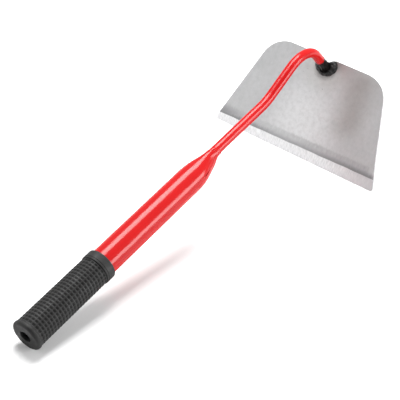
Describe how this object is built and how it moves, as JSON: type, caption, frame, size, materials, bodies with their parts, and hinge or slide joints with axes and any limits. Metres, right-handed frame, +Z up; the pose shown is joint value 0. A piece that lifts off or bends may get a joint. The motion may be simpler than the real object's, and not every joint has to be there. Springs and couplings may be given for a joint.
{
  "type": "hand hoe",
  "caption": "Short draw hoe: broad steel blade with a ground edge, welded to a bent rod neck in a tube handle with a ribbed rubber grip.",
  "frame": {"origin": "on the ground below the middle of the tool's box, with the tool standing on the butt of its grip and its cutting edge", "axes": "+X from the grip to the blade along the ground, +Z up, +Y to the left of someone who holds the grip and looks along the handle"},
  "size_m": [0.4338, 0.1892, 0.12],
  "materials": {
    "blade_steel": "satin rolled steel with a brighter ground bevel",
    "red_enamel": "gloss enamel",
    "burnt_weld": "burnt, lumpy, half gloss",
    "painted_weld": "gloss enamel over a weld bead",
    "black_rubber": "matt moulded ribs"
  },
  "bodies": {
    "root": {"blade": "blade_steel", "neck_rod": "red_enamel", "blade_weld": "burnt_weld", "handle_tube": "red_enamel", "nose_weld": "painted_weld", "rubber_grip": "black_rubber"}
  },
  "joints": []
}
